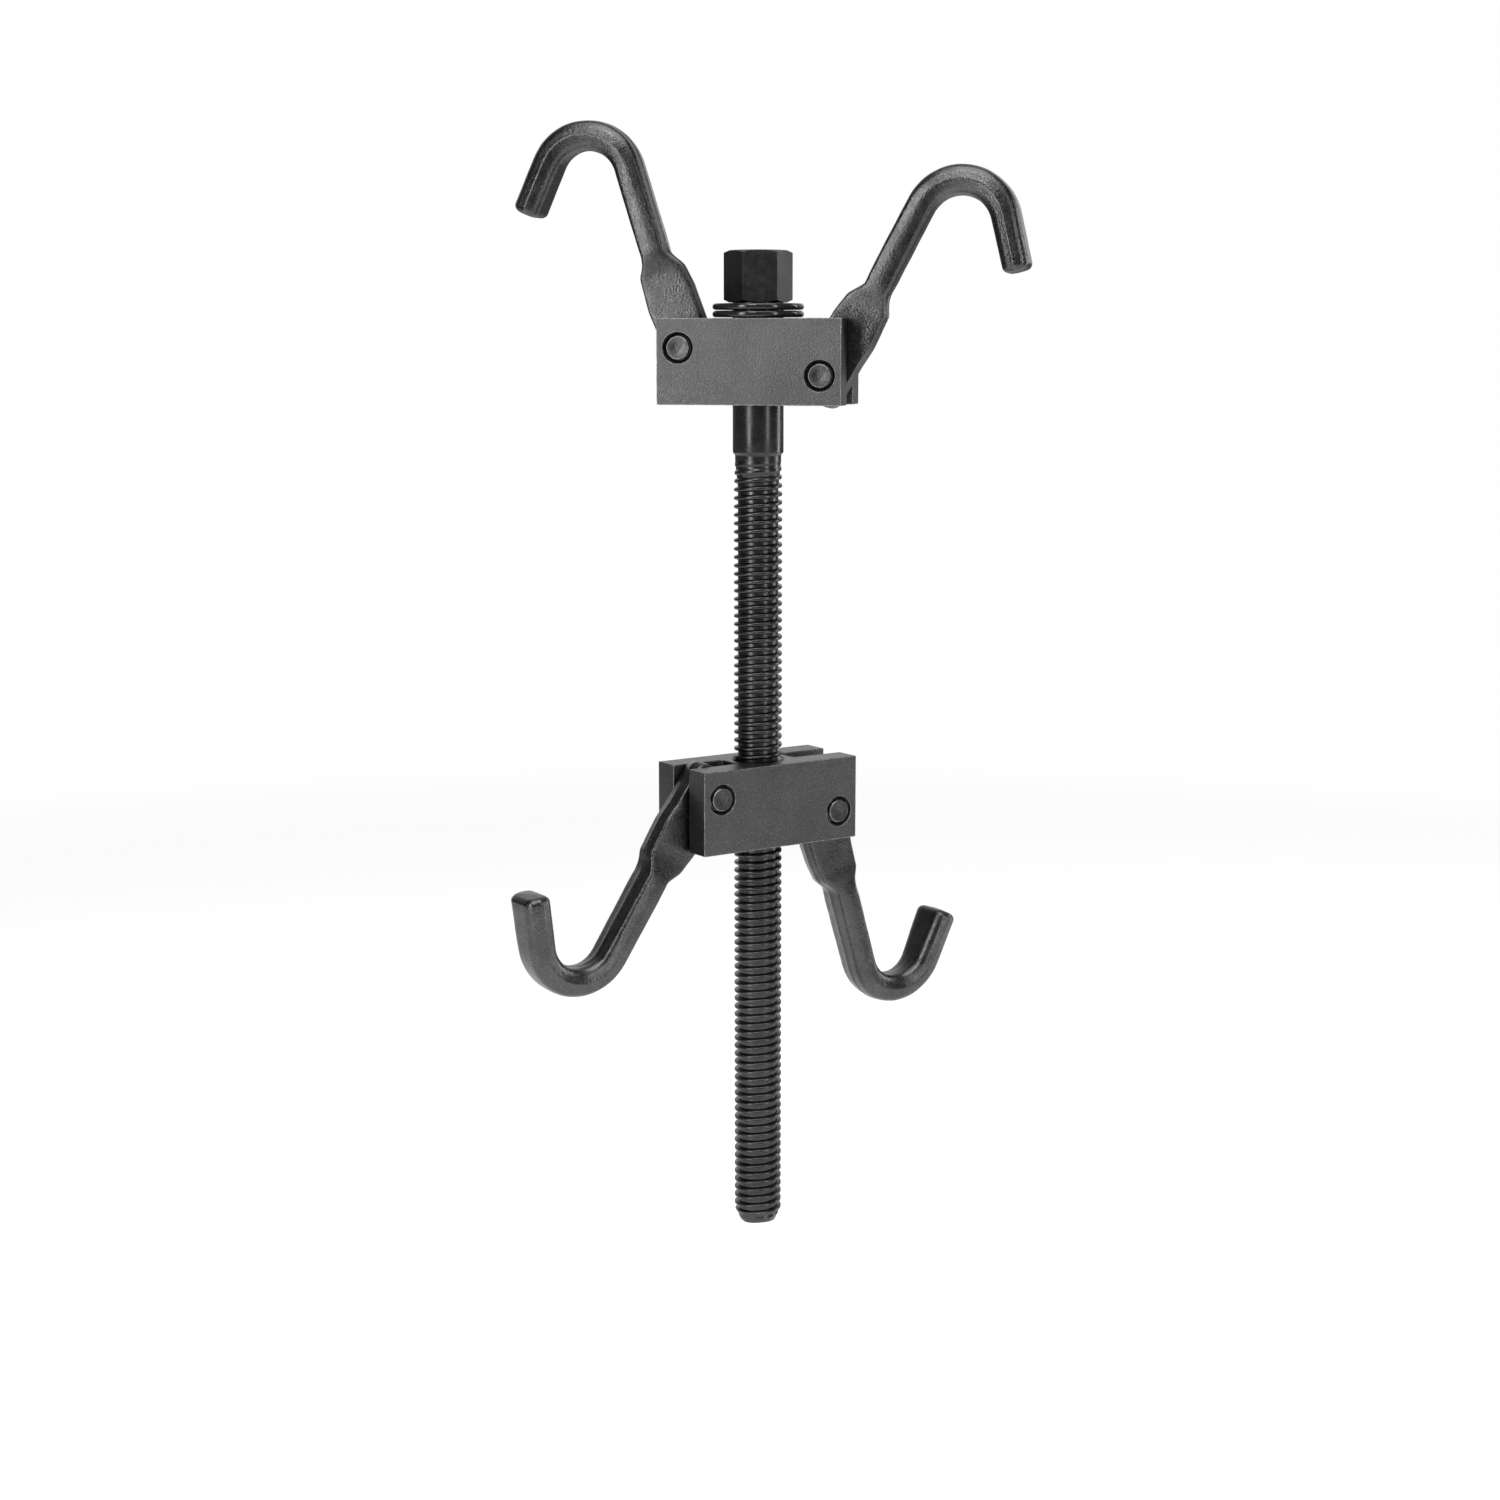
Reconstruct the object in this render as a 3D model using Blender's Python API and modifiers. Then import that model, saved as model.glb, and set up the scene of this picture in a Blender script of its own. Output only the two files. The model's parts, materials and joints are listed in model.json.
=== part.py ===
# Internal coil spring compressor: a forcing screw that draws two hooked yokes together inside a coil spring.
# Units are metres, +Z is up. The origin is the centre of the screw's flat lower end.
# X runs along the upper yoke, and -Y is the side that the pins are driven in from.

import math

import bmesh
import bpy
from mathutils import Matrix, Vector

MM = 0.001
GAP = 0.3 * MM                      # left between pieces that touch

# Forcing screw
SCREW_LENGTH = 355.6 * MM           # from the lower end to the underside of the head
SHANK_DIAMETER = 19.05 * MM
SHANK_LENGTH = 56.0 * MM
NECK_DIAMETER = 17.3 * MM
NECK_LENGTH = 6.0 * MM
THREAD_DIAMETER = 18.2 * MM
TIP_DIAMETER = 13.6 * MM
TIP_LENGTH = 5.0 * MM
SHANK_CHAMFER = 0.8 * MM
HEAD_ACROSS_FLATS = 22.2 * MM
HEAD_HEIGHT = 19.0 * MM
HEAD_CHAMFER_ANGLE = math.radians(25)
HEAD_TURN = math.radians(17.4)      # how far a corner of the hexagon is turned from +X
HEAD_ROOT = 4.0 * MM                # how far the shank runs up into the head

# Thrust washers
WASHER_DIAMETER = 34.0 * MM
WASHER_THICKNESS = 2.4 * MM
WASHER_HOLE_CLEARANCE = 0.5 * MM
WASHER_EDGE = 0.6 * MM

# Yokes
YOKE_LENGTH = 69.85 * MM
YOKE_WIDTH = 31.75 * MM
YOKE_HEIGHT = 31.75 * MM
YOKE_EDGE = 0.4 * MM
YOKE_SPREAD = 166.0 * MM            # from the middle of one yoke to the middle of the other
LOWER_YOKE_TURN = math.radians(48.4)
BORE_CLEARANCE = 0.35 * MM

# Hook pins
PIN_DIAMETER = 9.5 * MM
PIN_FROM_END = 8.1 * MM             # from the yoke's end to the pin's axis
PIN_STAGGER = 5.0 * MM              # left pin above the yoke's middle, right pin below it
PIN_CHAMFER = 0.55 * MM
PIN_FRONT_STAND = 0.15 * MM
PIN_REAR_STAND = 1.8 * MM
PIN_SEAT_RING = 0.9 * MM            # width of the shallow recess around the pin's front end
PIN_SEAT_DEPTH = 0.7 * MM

# Hooks
TANG_THICKNESS = 8.8 * MM
TANG_WIDTH = 17.0 * MM
TANG_BELOW_PIN = 10.5 * MM
TANG_CORNER = 4.0 * MM
TANG_OFFSET = 0.8 * MM              # centre lines, outward of the pin
SPADE_OFFSET = 1.2 * MM
SLOT_SIDE_CLEARANCE = 0.9 * MM
SLOT_END_CLEARANCE = 0.6 * MM
PIN_SWING_CLEARANCE = 0.4 * MM
SPADE_WIDTH = 22.2 * MM
SPADE_START = 9.0 * MM              # heights above the pin, along the arm
SPADE_PEAK = 24.0 * MM
SPADE_END = 37.5 * MM
ARM_WIDTH = 10.0 * MM
ARM_THICKNESS = 12.6 * MM
ARM_OFFSET = 1.5 * MM
BEND_HEIGHT = 70.0 * MM             # centre of the bend above the pin
BEND_RADIUS = 16.8 * MM             # to the middle of the bar
BEND_ANGLE = math.radians(138.5)
BEND_WIDTH = 10.8 * MM
BEND_STEPS = 14
BEND_SETTLES = 1 / 3                # share of the bend in which the bar goes from ARM_WIDTH to BEND_WIDTH
NOSE_LENGTH = 20.5 * MM
NOSE_ROUND = 3.6 * MM
NOSE_BLUNTNESS = 0.8                # how far the nose's rounding reaches in, as a share of NOSE_ROUND
SECTION_POINTS = 12

# Squareness of the hook's sections: 2 is an ellipse, and more is closer to a rectangle
TANG_SQUARENESS = 7
ARM_SQUARENESS = 3.4
BEND_SQUARENESS = 3.2

# Shares of the tang's corner and of the nose's rounding at which sections are laid
TANG_CORNER_SHARES = (0.0, 0.3, 0.6, 1.0)
NOSE_SHARES = (0.0, 0.35, 0.65, 0.85, 1.0)

# How the spade widens from the tang: share of the climb, then share of the extra width
SPADE_RISE = ((0.0, 0.06), (0.45, 0.6), (0.85, 1.0))

# How it narrows to the arm: share of the climb, of the extra width left, and of the arm's thickness reached
SPADE_FALL = ((0.1, 1.0, 0.04), (0.4, 0.77, 0.3), (0.65, 0.38, 0.68), (0.85, 0.08, 0.92))

# Each hook's place: yoke, side (1 is +X), and its lean out from the screw
HOOKS = {
    "upper_left_hook": ("upper", -1, math.radians(17.5)),
    "upper_right_hook": ("upper", 1, math.radians(28)),
    "lower_left_hook": ("lower", -1, math.radians(34)),
    "lower_right_hook": ("lower", 1, math.radians(17)),
}

# Places that follow from the sizes above
LOWER_WASHER_TOP = SCREW_LENGTH - GAP - WASHER_THICKNESS - GAP
UPPER_YOKE_TOP = LOWER_WASHER_TOP - WASHER_THICKNESS - GAP
UPPER_YOKE_Z = UPPER_YOKE_TOP - YOKE_HEIGHT / 2
LOWER_YOKE_Z = UPPER_YOKE_Z - YOKE_SPREAD
PIN_X = YOKE_LENGTH / 2 - PIN_FROM_END
TANG_REACH = math.hypot(TANG_WIDTH / 2 - TANG_CORNER + TANG_OFFSET,
                        TANG_BELOW_PIN - TANG_CORNER) + TANG_CORNER
SLOT_INNER_X = PIN_X - TANG_REACH - SLOT_END_CLEARANCE
SLOT_WIDTH = TANG_THICKNESS + 2 * SLOT_SIDE_CLEARANCE

FIRST_CORNER = math.radians(90)     # where Blender starts a cylinder's ring, from +X
ROUND_STEPS = 48
SMALL_ROUND_STEPS = 32
OVERCUT = 5.0 * MM                  # how far a cutter runs past the faces it opens
MERGE_DISTANCE = 0.01 * MM
SMOOTH_ANGLE = math.radians(35)


def clear_scene():
    for obj in list(bpy.data.objects):
        bpy.data.objects.remove(obj, do_unlink=True)


def make_collection(name):
    collection = bpy.data.collections.new(name)
    bpy.context.scene.collection.children.link(collection)
    return collection


def make_material(name, colour, metallic, roughness):
    material = bpy.data.materials.new(name)
    material.use_nodes = True
    shader = material.node_tree.nodes["Principled BSDF"]
    shader.inputs["Base Color"].default_value = (*colour, 1.0)
    shader.inputs["Metallic"].default_value = metallic
    shader.inputs["Roughness"].default_value = roughness
    return material


def add_object(name, mesh, collection, parent=None, location=(0, 0, 0), rotation=(0, 0, 0)):
    obj = bpy.data.objects.new(name, mesh)
    collection.objects.link(obj)
    obj.parent = parent
    obj.location = location
    obj.rotation_euler = rotation
    return obj


def add_empty(name, collection, location, turn):
    empty = add_object(name, None, collection, location=location, rotation=(0, 0, turn))
    empty.empty_display_size = YOKE_LENGTH / 2
    return empty


def smooth_round_faces(mesh):
    mesh.shade_smooth()
    mesh.set_sharp_from_angle(angle=SMOOTH_ANGLE)


def box_mesh(name, size):
    mesh = bpy.data.meshes.new(name)
    bm = bmesh.new()
    bmesh.ops.create_cube(bm, size=1.0)
    bmesh.ops.scale(bm, vec=Vector(size), verts=bm.verts)
    bm.to_mesh(mesh)
    bm.free()
    return mesh


def cylinder_mesh(name, diameter, length, segments):
    mesh = bpy.data.meshes.new(name)
    bm = bmesh.new()
    bmesh.ops.create_cone(bm, cap_ends=True, segments=segments, radius1=diameter / 2,
                          radius2=diameter / 2, depth=length)
    bm.to_mesh(mesh)
    bm.free()
    return mesh


# A turned piece: the profile's (radius, height) points run down its outer side, top to bottom.
def turn(obj, profile, steps):
    mesh = obj.data
    mesh.from_pydata([(r, 0, z) for r, z in profile], [(i, i + 1) for i in range(len(profile) - 1)], [])
    screw = obj.modifiers.new("Turned", "SCREW")
    screw.axis = "Z"
    screw.steps = steps
    screw.render_steps = steps
    screw.use_merge_vertices = True
    screw.merge_threshold = MERGE_DISTANCE
    screw.use_smooth_shade = True
    return obj


def cut(obj, cutter, operation="DIFFERENCE"):
    boolean = obj.modifiers.new(cutter.name, "BOOLEAN")
    boolean.operation = operation
    boolean.object = cutter
    boolean.solver = "EXACT"


def add_cutter(name, mesh, cutters, parent=None, location=(0, 0, 0), rotation=(0, 0, 0)):
    cutter = add_object(name, mesh, cutters, parent, location, rotation)
    cutter.display_type = "WIRE"
    cutter.hide_render = True
    return cutter


def build_forcing_screw(parts, cutters, material):
    shank_end = SCREW_LENGTH - SHANK_LENGTH
    neck_end = shank_end - NECK_LENGTH
    step = (THREAD_DIAMETER - NECK_DIAMETER) / 2
    profile = [
        (0, SCREW_LENGTH + HEAD_ROOT),
        (SHANK_DIAMETER / 2, SCREW_LENGTH + HEAD_ROOT),
        (SHANK_DIAMETER / 2, shank_end + SHANK_CHAMFER),
        (NECK_DIAMETER / 2, shank_end),
        (NECK_DIAMETER / 2, neck_end),
        (THREAD_DIAMETER / 2, neck_end - step),
        (THREAD_DIAMETER / 2, TIP_LENGTH),
        (TIP_DIAMETER / 2, 0),
        (0, 0),
    ]
    screw = turn(add_object("forcing_screw", bpy.data.meshes.new("forcing_screw"), parts), profile, ROUND_STEPS)

    # The head is a hexagon trimmed by a turned body whose ends are coned.
    corner = HEAD_ACROSS_FLATS / math.sqrt(3)
    trim_radius = corner + OVERCUT
    fall = (trim_radius - HEAD_ACROSS_FLATS / 2) * math.tan(HEAD_CHAMFER_ANGLE)
    trim_profile = [
        (0, HEAD_HEIGHT),
        (HEAD_ACROSS_FLATS / 2, HEAD_HEIGHT),
        (trim_radius, HEAD_HEIGHT - fall),
        (trim_radius, fall),
        (HEAD_ACROSS_FLATS / 2, 0),
        (0, 0),
    ]
    trim = add_cutter("head_trim", bpy.data.meshes.new("head_trim"), cutters, location=(0, 0, SCREW_LENGTH))
    turn(trim, trim_profile, ROUND_STEPS)
    middle = SCREW_LENGTH + HEAD_HEIGHT / 2
    prism = cylinder_mesh("hex_head", 2 * corner, HEAD_HEIGHT + OVERCUT, 6)
    head = add_cutter("hex_head", prism, cutters, location=(0, 0, middle),
                      rotation=(0, 0, HEAD_TURN - FIRST_CORNER))
    cut(head, trim, "INTERSECT")
    cut(screw, head, "UNION")
    screw.data.materials.append(material)


def build_washers(parts, material):
    tops = {"thrust_washer_upper": SCREW_LENGTH - GAP, "thrust_washer_lower": LOWER_WASHER_TOP}
    outer = WASHER_DIAMETER / 2
    inner = SHANK_DIAMETER / 2 + WASHER_HOLE_CLEARANCE
    thickness = WASHER_THICKNESS
    for name, top in tops.items():
        profile = [
            (inner, 0),
            (outer - WASHER_EDGE, 0),
            (outer, -WASHER_EDGE),
            (outer, WASHER_EDGE - thickness),
            (outer - WASHER_EDGE, -thickness),
            (inner, -thickness),
            (inner, 0),
        ]
        washer = add_object(name, bpy.data.meshes.new(name), parts, location=(0, 0, top))
        turn(washer, profile, ROUND_STEPS)
        washer.data.materials.append(material)


def build_yoke(name, frame, bore_diameter, parts, cutters, material):
    yoke = add_object(name, box_mesh(name, (YOKE_LENGTH, YOKE_WIDTH, YOKE_HEIGHT)), parts, frame)
    edges = yoke.modifiers.new("Edges", "BEVEL")
    edges.width = YOKE_EDGE
    edges.segments = 1
    yoke.data.materials.append(material)

    bore = add_cutter(name + "_bore", cylinder_mesh("bore", bore_diameter, YOKE_HEIGHT + OVERCUT, ROUND_STEPS),
                      cutters, frame)
    cut(yoke, bore)
    slot_length = YOKE_LENGTH / 2 - SLOT_INNER_X + OVERCUT
    slot_size = (slot_length, SLOT_WIDTH, YOKE_HEIGHT + OVERCUT)
    for side in (-1, 1):
        slot_x = side * (SLOT_INNER_X + slot_length / 2)
        cut(yoke, add_cutter(f"{name}_slot_{side}", box_mesh("slot", slot_size), cutters, frame, (slot_x, 0, 0)))
        hole = cylinder_mesh("pin_hole", PIN_DIAMETER + 2 * GAP, YOKE_WIDTH + OVERCUT, SMALL_ROUND_STEPS)
        place = (side * PIN_X, 0, -side * PIN_STAGGER)
        across = (math.radians(90), 0, 0)
        cut(yoke, add_cutter(f"{name}_pin_hole_{side}", hole, cutters, frame, place, across))
        seat_diameter = PIN_DIAMETER + 2 * PIN_SEAT_RING
        seat = cylinder_mesh("pin_seat", seat_diameter, 2 * PIN_SEAT_DEPTH, SMALL_ROUND_STEPS)
        seat_place = (side * PIN_X, -YOKE_WIDTH / 2, -side * PIN_STAGGER)
        cut(yoke, add_cutter(f"{name}_pin_seat_{side}", seat, cutters, frame, seat_place, across))


def build_pin(name, frame, side, parts, material):
    radius = PIN_DIAMETER / 2
    front = YOKE_WIDTH / 2 + PIN_FRONT_STAND
    rear = YOKE_WIDTH / 2 + PIN_REAR_STAND
    profile = [
        (0, front),
        (radius - PIN_CHAMFER, front),
        (radius, front - PIN_CHAMFER),
        (radius, PIN_CHAMFER - rear),
        (radius - PIN_CHAMFER, -rear),
        (0, -rear),
    ]
    place = (side * PIN_X, 0, -side * PIN_STAGGER)
    pin = add_object(name, bpy.data.meshes.new(name), parts, frame, place, (math.radians(90), 0, 0))
    turn(pin, profile, SMALL_ROUND_STEPS)
    pin.data.materials.append(material)


def mix(low, high, share):
    return low + (high - low) * share


# Stations along a hook that stands on its pin with the arm straight up and the nose towards +X.
# Each is (centre x, centre z, direction from +Z, half width, half thickness, squareness).
def hook_stations():
    tang, spade, arm, bend = (width / 2 for width in (TANG_WIDTH, SPADE_WIDTH, ARM_WIDTH, BEND_WIDTH))
    thin, thick = TANG_THICKNESS / 2, ARM_THICKNESS / 2
    stations = []
    for share in TANG_CORNER_SHARES:
        angle = share * math.pi / 2
        z = -TANG_BELOW_PIN + TANG_CORNER * (1 - math.cos(angle))
        stations.append((TANG_OFFSET, z, 0, tang - TANG_CORNER * (1 - math.sin(angle)), thin, TANG_SQUARENESS))
    for climb, widening in SPADE_RISE:
        stations.append((mix(TANG_OFFSET, SPADE_OFFSET, climb), mix(SPADE_START, SPADE_PEAK, climb), 0,
                         mix(tang, spade, widening), thin, TANG_SQUARENESS))
    for climb, kept, thickening in SPADE_FALL:
        stations.append((mix(SPADE_OFFSET, ARM_OFFSET, climb), mix(SPADE_PEAK, SPADE_END, climb), 0,
                         mix(arm, spade, kept), mix(thin, thick, thickening),
                         mix(TANG_SQUARENESS, ARM_SQUARENESS, climb)))
    for z in (SPADE_END, (SPADE_END + BEND_HEIGHT) / 2):
        stations.append((ARM_OFFSET, z, 0, arm, thick, ARM_SQUARENESS))
    centre_x = ARM_OFFSET + BEND_RADIUS
    for step in range(BEND_STEPS + 1):
        turned = step / BEND_STEPS
        heading = BEND_ANGLE * turned
        stations.append((centre_x - BEND_RADIUS * math.cos(heading),
                         BEND_HEIGHT + BEND_RADIUS * math.sin(heading),
                         heading, mix(arm, bend, min(1, turned / BEND_SETTLES)), thick, BEND_SQUARENESS))
    end = Vector(stations[-1][:2])
    run = Vector((math.sin(BEND_ANGLE), math.cos(BEND_ANGLE)))
    straight = NOSE_LENGTH - NOSE_ROUND
    for share in NOSE_SHARES:
        x, z = end + run * (straight + NOSE_ROUND * share)
        shrink = NOSE_BLUNTNESS * NOSE_ROUND * (1 - math.sqrt(1 - share * share))
        stations.append((x, z, BEND_ANGLE, bend - shrink, thick - shrink, BEND_SQUARENESS))
    return stations


def hook_mesh():
    bm = bmesh.new()
    rings = []
    for x, z, heading, half_width, half_thickness, squareness in hook_stations():
        ring = []
        for index in range(SECTION_POINTS):
            angle = 2 * math.pi * (index + 0.5) / SECTION_POINTS
            c, s = math.cos(angle), math.sin(angle)
            power = 2 / squareness
            across = math.copysign(abs(c) ** power, c) * half_width
            deep = math.copysign(abs(s) ** power, s) * half_thickness
            ring.append(bm.verts.new((x + across * math.cos(heading), deep, z - across * math.sin(heading))))
        rings.append(ring)
    for low, high in zip(rings, rings[1:]):
        for index in range(SECTION_POINTS):
            follow = (index + 1) % SECTION_POINTS
            bm.faces.new((low[index], high[index], high[follow], low[follow]))
    bm.faces.new(rings[0])
    bm.faces.new(reversed(rings[-1]))
    bmesh.ops.recalc_face_normals(bm, faces=bm.faces)
    mesh = bpy.data.meshes.new("hook")
    bm.to_mesh(mesh)
    bm.free()
    smooth_round_faces(mesh)
    return mesh


# Upper hooks point up and lower hooks down; a left hook is a right hook turned half way round.
def build_hook(name, mesh, frame, yoke, side, lean, parts, cutters):
    half_turn = math.pi if side < 0 else 0.0
    flip = math.pi if yoke == "lower" else 0.0
    rotation = (Matrix.Rotation(half_turn, 3, "Z") @ Matrix.Rotation(flip, 3, "X")
                @ Matrix.Rotation(lean, 3, "Y")).to_euler()
    place = (side * PIN_X, 0, -side * PIN_STAGGER)
    hook = add_object(name, mesh, parts, frame, place, rotation)
    hole_size = PIN_DIAMETER + 2 * PIN_SWING_CLEARANCE
    hole = cylinder_mesh("swing_hole", hole_size, TANG_THICKNESS + OVERCUT, SMALL_ROUND_STEPS)
    cut(hook, add_cutter(name + "_swing_hole", hole, cutters, hook, rotation=(math.radians(90), 0, 0)))


def main():
    clear_scene()
    parts = make_collection("coil_spring_compressor")
    cutters = make_collection("cutters")
    guides = make_collection("guides")
    black_screw = make_material("phosphated screw steel", (0.02, 0.02, 0.021), 0.9, 0.28)
    black_yoke = make_material("black oxide yoke steel", (0.055, 0.055, 0.057), 0.8, 0.45)
    forged_hook = make_material("forged hook steel", (0.035, 0.035, 0.036), 0.7, 0.5)
    pin_steel = make_material("black pin steel", (0.06, 0.06, 0.062), 0.85, 0.4)

    build_forcing_screw(parts, cutters, black_screw)
    build_washers(parts, black_screw)
    frames = {
        "upper": add_empty("upper_yoke_frame", guides, (0, 0, UPPER_YOKE_Z), 0.0),
        "lower": add_empty("lower_yoke_frame", guides, (0, 0, LOWER_YOKE_Z), LOWER_YOKE_TURN),
    }
    bores = {"upper": SHANK_DIAMETER + 2 * BORE_CLEARANCE, "lower": THREAD_DIAMETER + 2 * BORE_CLEARANCE}
    for level, frame in frames.items():
        build_yoke(level + "_yoke", frame, bores[level], parts, cutters, black_yoke)
    shared_hook = hook_mesh()
    shared_hook.materials.append(forged_hook)
    for name, (level, side, lean) in HOOKS.items():
        build_hook(name, shared_hook, frames[level], level, side, lean, parts, cutters)
        build_pin(name.replace("hook", "pin"), frames[level], side, parts, pin_steel)


main()
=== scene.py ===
import json
import math

import bmesh
import bpy
from mathutils import Matrix, Vector, noise


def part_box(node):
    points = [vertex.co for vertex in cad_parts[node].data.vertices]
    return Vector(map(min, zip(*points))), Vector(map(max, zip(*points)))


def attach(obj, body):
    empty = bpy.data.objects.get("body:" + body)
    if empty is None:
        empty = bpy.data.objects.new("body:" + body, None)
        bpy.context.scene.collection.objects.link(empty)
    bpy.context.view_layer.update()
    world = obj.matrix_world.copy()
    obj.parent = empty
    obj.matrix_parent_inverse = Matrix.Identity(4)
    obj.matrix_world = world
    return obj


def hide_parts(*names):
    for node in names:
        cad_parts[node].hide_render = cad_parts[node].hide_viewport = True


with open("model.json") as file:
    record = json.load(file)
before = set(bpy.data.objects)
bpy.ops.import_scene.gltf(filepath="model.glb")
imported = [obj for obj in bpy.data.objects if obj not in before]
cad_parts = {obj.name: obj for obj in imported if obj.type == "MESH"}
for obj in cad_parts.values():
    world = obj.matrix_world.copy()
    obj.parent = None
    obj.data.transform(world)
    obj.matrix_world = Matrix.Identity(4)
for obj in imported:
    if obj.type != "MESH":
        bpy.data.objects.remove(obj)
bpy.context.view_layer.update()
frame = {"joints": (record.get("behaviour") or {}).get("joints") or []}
joints = {joint["name"]: joint for joint in frame["joints"]}
mm = 0.001
print("frame loaded")


def mix(low, high, share):
    return low + (high - low) * share


def linear(hexColour):
    channels = [int(hexColour[i:i + 2], 16) / 255 for i in (1, 3, 5)]
    return tuple(c / 12.92 if c <= 0.04045 else ((c + 0.055) / 1.055) ** 2.4 for c in channels) + (1.0,)


def addNode(tree, kind, settings=None, links=None):
    node = tree.nodes.new(kind)
    for key, value in (settings or {}).items():
        if isinstance(key, int) or key in node.inputs:
            node.inputs[key].default_value = value
        else:
            setattr(node, key, value)
    for key, source in (links or {}).items():
        tree.links.new(source, node.inputs[key])
    return node


# points are (along, value) pairs; the line through them is rounded over a short stretch
def rounded(points, place, stretch):
    def straight(at):
        for (a, low), (b, high) in zip(points, points[1:]):
            if at <= b:
                return mix(low, high, max(0.0, (at - a) / (b - a)))
        return points[-1][1]
    samples = 9
    return sum(straight(place + stretch * (i / (samples - 1) - 0.5)) for i in range(samples)) / samples


def meshFrom(name, bm):
    bmesh.ops.recalc_face_normals(bm, faces=bm.faces)
    mesh = bpy.data.meshes.new(name)
    bm.to_mesh(mesh)
    bm.free()
    return mesh


def putPiece(name, mesh, place, material, body, node, smoothAngle=35):
    if smoothAngle:
        mesh.shade_smooth()
        mesh.set_sharp_from_angle(angle=math.radians(smoothAngle))
    mesh.materials.append(material)
    piece = bpy.data.objects.new(name, mesh)
    bpy.context.scene.collection.objects.link(piece)
    piece.matrix_world = place
    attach(piece, body)
    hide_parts(node)
    return piece


# rings of a turned shape from (radius, height) points in mm, joined top to bottom
def turnedRings(bm, profile, steps):
    rings = []
    for radius, height in profile:
        ring = []
        for i in range(steps):
            angle = 2 * math.pi * i / steps
            ring.append(bm.verts.new((radius * math.cos(angle), radius * math.sin(angle), height)))
        rings.append(ring)
    for upper, lower in zip(rings, rings[1:]):
        for i in range(steps):
            follow = (i + 1) % steps
            bm.faces.new((upper[i], lower[i], lower[follow], upper[follow]))
    return rings


# quarter circle of points between two directions, for rolled and broken edges
def arc(centre, radius, start, end, steps):
    points = []
    for i in range(steps + 1):
        angle = math.radians(mix(start, end, i / steps))
        points.append((centre[0] + radius * math.cos(angle), centre[1] + radius * math.sin(angle)))
    return points


def toMetres(bm):
    bmesh.ops.scale(bm, vec=(mm, mm, mm), verts=bm.verts)


# cosine between the true and the rounded normal below which the pale edge mark (real wear and a painted
# highlight) begins, and the depths of the bumps in mm
edgeMarkFrom = 0.99
relief = {"waves": 0.3, "grain": 0.08}


# pale bare metal is painted where a surface turns sharply, broken up by a coarse noise: partly real edge
# wear, partly a painted highlight along the edges
def edgeWearAndHighlight(tree, edge):
    bevel = addNode(tree, "ShaderNodeBevel", {"samples": 6, "Radius": edge["reach"] * mm})
    surface = addNode(tree, "ShaderNodeNewGeometry")
    turned = addNode(tree, "ShaderNodeVectorMath", {"operation": "DOT_PRODUCT"},
                     {0: bevel.outputs["Normal"], 1: surface.outputs["Normal"]})
    sharp = addNode(tree, "ShaderNodeMapRange", {"From Min": edgeMarkFrom, "From Max": edge["full"],
                                                 "To Min": 0.0, "To Max": 1.0},
                    {"Value": turned.outputs["Value"]})
    place = addNode(tree, "ShaderNodeTexCoord")
    patches = addNode(tree, "ShaderNodeTexNoise", {"Scale": 1 / (edge["patch"] * mm), "Detail": 3.0},
                      {"Vector": place.outputs["Object"]})
    broken = addNode(tree, "ShaderNodeMapRange", {"From Min": 0.35, "From Max": 0.65, "To Min": edge["least"],
                                                  "To Max": edge["most"]}, {"Value": patches.outputs[0]})
    # pale edge mark: real edge wear together with a painted highlight along the edges
    wearAndGlint = addNode(tree, "ShaderNodeMath", {"operation": "MULTIPLY", "use_clamp": True},
                   {0: sharp.outputs[0], 1: broken.outputs[0]})
    return wearAndGlint.outputs[0]


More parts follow.
